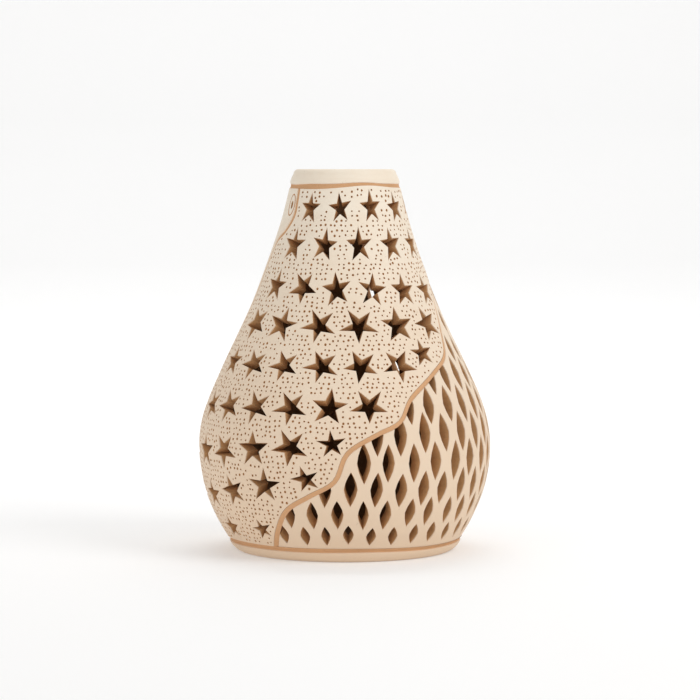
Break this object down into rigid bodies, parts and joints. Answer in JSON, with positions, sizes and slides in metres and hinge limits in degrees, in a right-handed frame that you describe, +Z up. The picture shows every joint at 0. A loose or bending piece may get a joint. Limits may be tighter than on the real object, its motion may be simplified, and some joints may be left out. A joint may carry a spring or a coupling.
{
  "type": "pierced clay vase",
  "caption": "Pear-shaped pierced clay vase with a smooth collar, star cut-outs, a leaf lattice and a rounded foot.",
  "frame": {"origin": "centre of the base on the plane it rests on", "axes": "+Z up along the vase's axis; front (the side with the star field over the wave line) faces -Y; +X to the viewer's right"},
  "size_m": [0.1384, 0.1388, 0.18],
  "materials": {
    "cream_slip": "matte burnished cream slip on the outside",
    "ochre_clay": "matte ochre clay where the slip is cut away",
    "bare_clay": "matte bare brown clay"
  },
  "bodies": {
    "root": {"floor_slab": "bare_clay", "foot_ring": "cream_slip", "foot_line": "ochre_clay", "star_field_wall": "cream_slip", "star_neck_wall": "cream_slip", "lattice_field_wall": "cream_slip", "figure_field_wall": "cream_slip", "figure_neck_wall": "cream_slip", "wave_line": "ochre_clay", "figure_front_line": "ochre_clay", "figure_back_line": "ochre_clay", "neck_line": "ochre_clay", "neck_collar": "cream_slip"}
  },
  "joints": []
}
